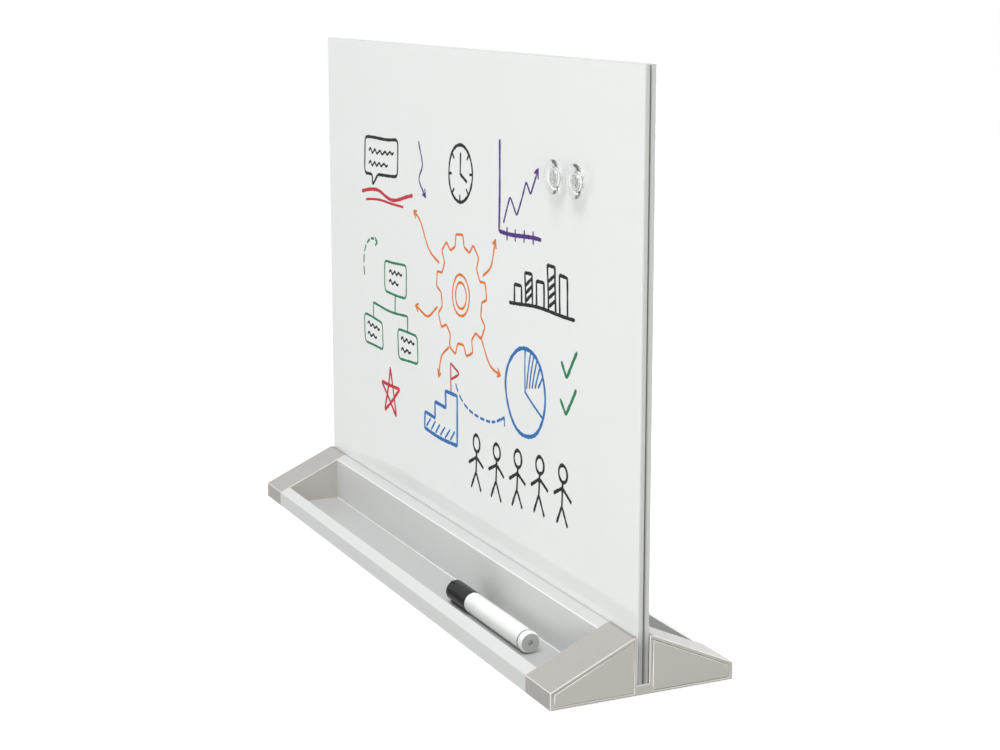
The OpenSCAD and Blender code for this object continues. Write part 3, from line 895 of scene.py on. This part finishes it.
def evenly(points):
    """The polyline cut into steps of even length."""
    out = [points[0]]
    left = STEP
    for one, two in zip(points, points[1:]):
        length = (two - one).length
        while length > left:
            one = one + (two - one).normalized() * left
            length -= left
            left = STEP
            out.append(one)
        left -= length
    out.append(points[-1])
    return out


def straight(*corners, round_by=1.5):
    """A line with slightly rounded corners through (x, z) points in mm."""
    return filleted([(x, z, round_by) for x, z in corners], 4)


def closed(*corners, round_by=1.5):
    """A closed outline; it starts in the middle of its first side."""
    (x0, z0), (x1, z1) = corners[0], corners[1]
    start = ((x0 + x1) / 2, (z0 + z1) / 2)
    return straight(start, *corners[1:], corners[0], start, round_by=round_by)


def curve(*knots):
    """A smooth curve through (x, z) points in mm."""
    knots = [Vector(k) for k in knots]
    knots = [2 * knots[0] - knots[1]] + knots + [2 * knots[-1] - knots[-2]]
    out = []
    for a, b, c, d in zip(knots, knots[1:], knots[2:], knots[3:]):
        for i in range(CURVE_PARTS):
            t = i / CURVE_PARTS
            squared = (2 * a - 5 * b + 4 * c - d) * t * t
            cubed = (3 * b - a - 3 * c + d) * t ** 3
            out.append(0.5 * (2 * b + (c - a) * t + squared + cubed))
    return out + [knots[-2]]


def arc(x, z, rx, rz, start, stop):
    """Part of an ellipse between two angles in degrees."""
    count = max(8, int(abs(stop - start) / 6))
    turns = [math.radians(start + (stop - start) * i / count) for i in range(count + 1)]
    return [Vector((x + rx * math.cos(t), z + rz * math.sin(t))) for t in turns]


def ring(x, z, rx, rz, start=80):
    """A closed round, drawn a little past its own start."""
    return arc(x, z, rx, rz, start, start + 368)


def arrow_head(tip, heading):
    """The two short strokes of an arrow head that points along heading, in degrees."""
    tip = Vector(tip)
    turns = [math.radians(heading + side) for side in (-ARROW_TURN, ARROW_TURN)]
    one, two = (tip - ARROW_SIDE * Vector((math.cos(turn), math.sin(turn))) for turn in turns)
    return [one, tip, two]


def person(x, z):
    """A stick figure that stands at (x, z), with its arms held out."""
    return [
        ring(x, z + 38, 6.5, 6.5), straight((x, z + 31), (x, z + 14)),
        straight((x - 13, z + 20), (x, z + 27), (x + 13, z + 21)),
        straight((x - 8, z), (x, z + 14), (x + 9, z + 1)),
    ]


def bar(x, z, width, height, hatched):
    """One bar of a chart, plain or hatched."""
    right, top = x + width, z + height
    lines = [straight((x, z), (x, top), (right, top), (right, z), round_by=1)]
    if hatched:
        for up in range(3, height - 6, 6):
            lines.append(straight((x + 1.5, z + up), (right - 1.5, z + up + 5)))
    return lines


def box(x, z, width, height):
    """A box with rounded corners round (x, z)."""
    left, right = x - width / 2, x + width / 2
    low, high = z - height / 2, z + height / 2
    return closed((left, high), (right, high), (right, low), (left, low), round_by=5)


def wave(x, z, length, height, humps, rise=0.0):
    """A wavy line that flattens towards its end."""
    out = []
    points_in_hump = 14
    count = points_in_hump * humps
    for i in range(count + 1):
        t = i / count
        swing = height * (1 - 0.45 * t) * math.sin(2 * math.pi * humps * t)
        out.append(Vector((x + length * t + 0.18 * swing, z + rise * length * t + swing / 2)))
    return out


def cog(x, z, outer, inner, teeth):
    """Outline of a toothed wheel."""
    corners = []
    for i in range(teeth):
        for share, radius in ((-0.30, inner), (-0.19, outer), (0.19, outer), (0.30, inner)):
            turn = 2 * math.pi * (i + share) / teeth + 0.2
            corners.append((x + radius * math.cos(turn), z + radius * math.sin(turn)))
    return closed(*corners, round_by=2.5)


def star(x, z, radius):
    """A five-pointed star drawn in one line."""
    turns = [math.pi / 2 + 4 * math.pi * i / 5 for i in range(6)]
    corners = [(x + radius * math.cos(turn), z + radius * math.sin(turn)) for turn in turns]
    return straight(*corners, round_by=0.8)


def dashes(points):
    """Cuts a line into dashes."""
    steps = evenly(points)
    return [steps[i:i + DASH + 1] for i in range(0, len(steps) - 2, DASH + GAP)]


# Each group adds its strokes by draw(ink, *lines, width). Places are (x, z) in mm, in the shared frame.
def draw_hub(draw):
    """A toothed wheel, with arrows out to the other figures."""
    hub = (2, 234)
    arrows = (                                   # the arrow's line, and where its head points in degrees
        (((-42, 256), (-64, 264), (-80, 284), (-94, 291)), 155),
        (((-46, 218), (-66, 206), (-92, 210)), 170),
        (((-22, 188), (-36, 178), (-44, 160)), 246),
        (((42, 206), (58, 188), (78, 184)), -12),
        (((46, 256), (60, 266), (70, 288)), 66),
    )
    draw("orange", cog(*hub, 50, 40, 9), ring(*hub, 17, 17), ring(*hub, 11, 11, 200))
    for line, heading in arrows:
        draw("orange", curve(*line), arrow_head(line[-1], heading))


def draw_graph(draw):
    """A rising line over two axes."""
    rise = ((84, 304), (95, 324), (107, 311), (122, 337), (130, 328), (141, 347))
    draw("purple", straight((76, 364), (76, 296), (148, 296)), width=BOLD)
    draw("purple", straight(*rise), arrow_head(rise[-1], 60))
    draw("purple", *[straight((x, 292), (x, 300)) for x in (90, 105, 120, 135)])


def draw_round_chart(draw):
    """A round chart with a hatched slice, and a dashed arrow to it."""
    x, z, radius = 122, 178, 34
    draw("blue", ring(x, z, radius, radius), width=BOLD)
    draw("blue", straight((x, z), (x, z + 33)), straight((x, z), (x + 30, z - 15)))
    for right in (3, 8, 13, 18, 23):
        top = z + 33 - 0.021 * (right + 6) ** 2
        draw("blue", straight((x + right, z + 3 + 0.2 * right), (x + right + 6, top)))
    draw("blue", *dashes(arc(40, 166, 50, 26, 195, 325)), arrow_head((84, 152), 62))


def draw_boxes(draw):
    """Branching boxes with wavy lines in them."""
    for x, z, width, height in ((-138, 228, 50, 28), (-190, 172, 44, 25), (-110, 172, 44, 25)):
        draw("green", box(x, z, width, height))
        draw("black", wave(x - 14, z + 5, 28, 3.5, 3), wave(x - 14, z - 4, 20, 3.5, 2))
    draw("green", straight((-138, 214), (-138, 198), (-190, 198), (-190, 185)))
    draw("green", straight((-138, 198), (-110, 198), (-110, 185)))
    draw("green", *dashes(arc(-190, 230, 24, 26, 200, 70)), arrow_head((-180, 254), 0))


def draw_steps(draw):
    """Hatched steps with a flag on top."""
    steps = (
        (-74, 108), (-74, 122), (-52, 122), (-52, 136),
        (-30, 136), (-30, 150), (-6, 150), (-6, 108),
    )
    draw("blue", closed(*steps), width=BOLD)
    draw("blue", *[straight((x, 111), (x + 8, 119)) for x in range(-70, -10, 10)])
    draw("red", straight((-18, 151), (-18, 176)))
    draw("red", closed((-18, 176), (0, 169), (-18, 162), round_by=1))


def draw_marks(draw):
    """A star, underlines and ticks."""
    draw("red", star(-152, 124, 23), width=BOLD)
    draw("red", curve((-214, 296), (-176, 301), (-140, 297), (-98, 303)), width=BOLD)
    draw("red", curve((-204, 289), (-164, 294), (-118, 292)))
    draw("green", *[straight((182, z), (190, z - 9), (205, z + 12)) for z in (212, 184)], width=BOLD)


def draw_bubble(draw):
    """A speech bubble with wavy lines in it."""
    bubble = (
        (-208, 345), (-130, 350), (-130, 318), (-176, 315),
        (-190, 303), (-189, 314), (-208, 313),
    )
    draw("black", closed(*bubble, round_by=6), width=INKY)
    draw("black", wave(-198, 334, 58, 4, 5, 0.06), wave(-198, 323, 44, 4, 4, 0.06))


def draw_clock(draw):
    """A clock face. The top tick is left out, because the long hand points there."""
    x, z = 2, 332
    slant = 0.7
    ticks = (
        (1, 0), (0, -1), (-1, 0), (slant, slant), (-slant, -slant), (-slant, slant), (slant, -slant),
    )
    draw("black", ring(x, z, 23, 23), straight((x, z + 16), (x, z), (x + 12, z - 6)), width=INKY)
    for c, s in ticks:
        draw("black", straight((x + 18 * c, z + 18 * s), (x + 21 * c, z + 21 * s)))


def draw_bars(draw):
    """A bar chart; every second bar is hatched."""
    draw("black", straight((94, 244), (200, 247)), width=INKY)
    for i, height in enumerate((14, 24, 19, 33, 28)):
        draw("black", *bar(102 + 19 * i, 245 + 0.5 * i, 12, height, i % 2 == 1), width=INKY)


def draw_people(draw):
    """A rising row of figures."""
    for i in range(5):
        draw("black", *person(32 + 38 * i, 80 + 3 * i), width=INKY)


def draw_lone_arrow(draw):
    """A winding arrow beside the speech bubble."""
    line = ((-84, 350), (-76, 332), (-82, 318), (-68, 306))
    draw("purple", curve(*line), arrow_head(line[-1], -42))


DRAWN = (
    draw_hub, draw_graph, draw_round_chart, draw_boxes, draw_steps, draw_marks,
    draw_bubble, draw_clock, draw_bars, draw_people, draw_lone_arrow,
)


def diagram():
    """Strokes of a made-up planning chart, as (ink, width, points).

    A stroke's place in this list says how far out it lies, so that crossing strokes don't share a plane.
    """
    chart = []

    def draw(ink, *lines, width=LINE):
        chart.extend((ink, width, line) for line in lines)

    for group in DRAWN:
        group(draw)
    return chart


def stroke(form, points, width, face_y, front):
    """Adds one marker stroke: a thin band with round ends that lies on the glass.

    Its front rises slightly on the way, so that a line that crosses itself lies over its own start.
    """
    line = evenly([hand(p[0], p[1]) for p in evenly(points)])
    if len(line) < 3:
        return
    half = width / 2
    stations = []
    for i, here in enumerate(line):
        along = (line[min(i + 1, len(line) - 1)] - line[max(i - 1, 0)]).normalized()
        pressed = half * (1 + 0.09 * math.sin(i / 5.3 + here.x) + 0.05 * math.sin(i / 1.9))
        stations.append((here, along, pressed))
    tips = [(math.cos(math.radians(turn)), math.sin(math.radians(turn))) for turn in TIP_TURNS]
    here, along, pressed = stations[0]
    start = [(here - along * pressed * c, along, pressed * s) for c, s in tips]
    here, along, pressed = stations[-1]
    end = [(here + along * pressed * c, along, pressed * s) for c, s in reversed(tips)]
    rows = []
    whole = start + stations + end
    for i, (here, along, wide) in enumerate(whole):
        across = Vector((-along.y, along.x)) * wide
        top = front + INK_RISE * i / len(whole)
        rows.append([
            form.verts.new((place.x * MM, face_y - depth, place.y * MM))
            for depth in (top, INK_BACK) for place in (here + across, here - across)
        ])
    for one, two in zip(rows, rows[1:]):
        for a, b in ((0, 1), (1, 3), (3, 2), (2, 0)):
            form.faces.new((one[a], one[b], two[b], two[a]))
    form.faces.new((rows[0][0], rows[0][2], rows[0][3], rows[0][1]))
    form.faces.new((rows[-1][0], rows[-1][1], rows[-1][3], rows[-1][2]))


def draw_on_board():
    """One piece for each ink."""
    face_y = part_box("front_glass")[0].y
    chart = diagram()
    for name, colour in INKS.items():
        form = bmesh.new()
        for i, (inked, width, points) in enumerate(chart):
            if inked == name:
                stroke(form, points, width, face_y, INK_FRONTS[i % len(INK_FRONTS)])
        bmesh.ops.recalc_face_normals(form, faces=form.faces)
        mesh = bpy.data.meshes.new("drawing_" + name)
        form.to_mesh(mesh)
        form.free()
        new_piece("drawing_" + name, mesh, "board", [ink(name, colour)])


# ---- floor ----
FLOOR_HALF = 4.0                                 # metres from its middle to its sides


def add_floor():
    """The surface that the object stands on, which is not part of it."""
    half = FLOOR_HALF
    mesh = bpy.data.meshes.new("floor")
    corners = [(-half, -half, 0), (half, -half, 0), (half, half, 0), (-half, half, 0)]
    mesh.from_pydata(corners, [], [(0, 1, 2, 3)])
    mesh.materials.append(floor_white())
    floor = bpy.data.objects.new("floor", mesh)
    bpy.context.collection.objects.link(floor)


add_camera()
add_world()
add_lamps()
add_floor()
dress_base()
dress_board()
dress_magnets()
dress_marker()
draw_on_board()
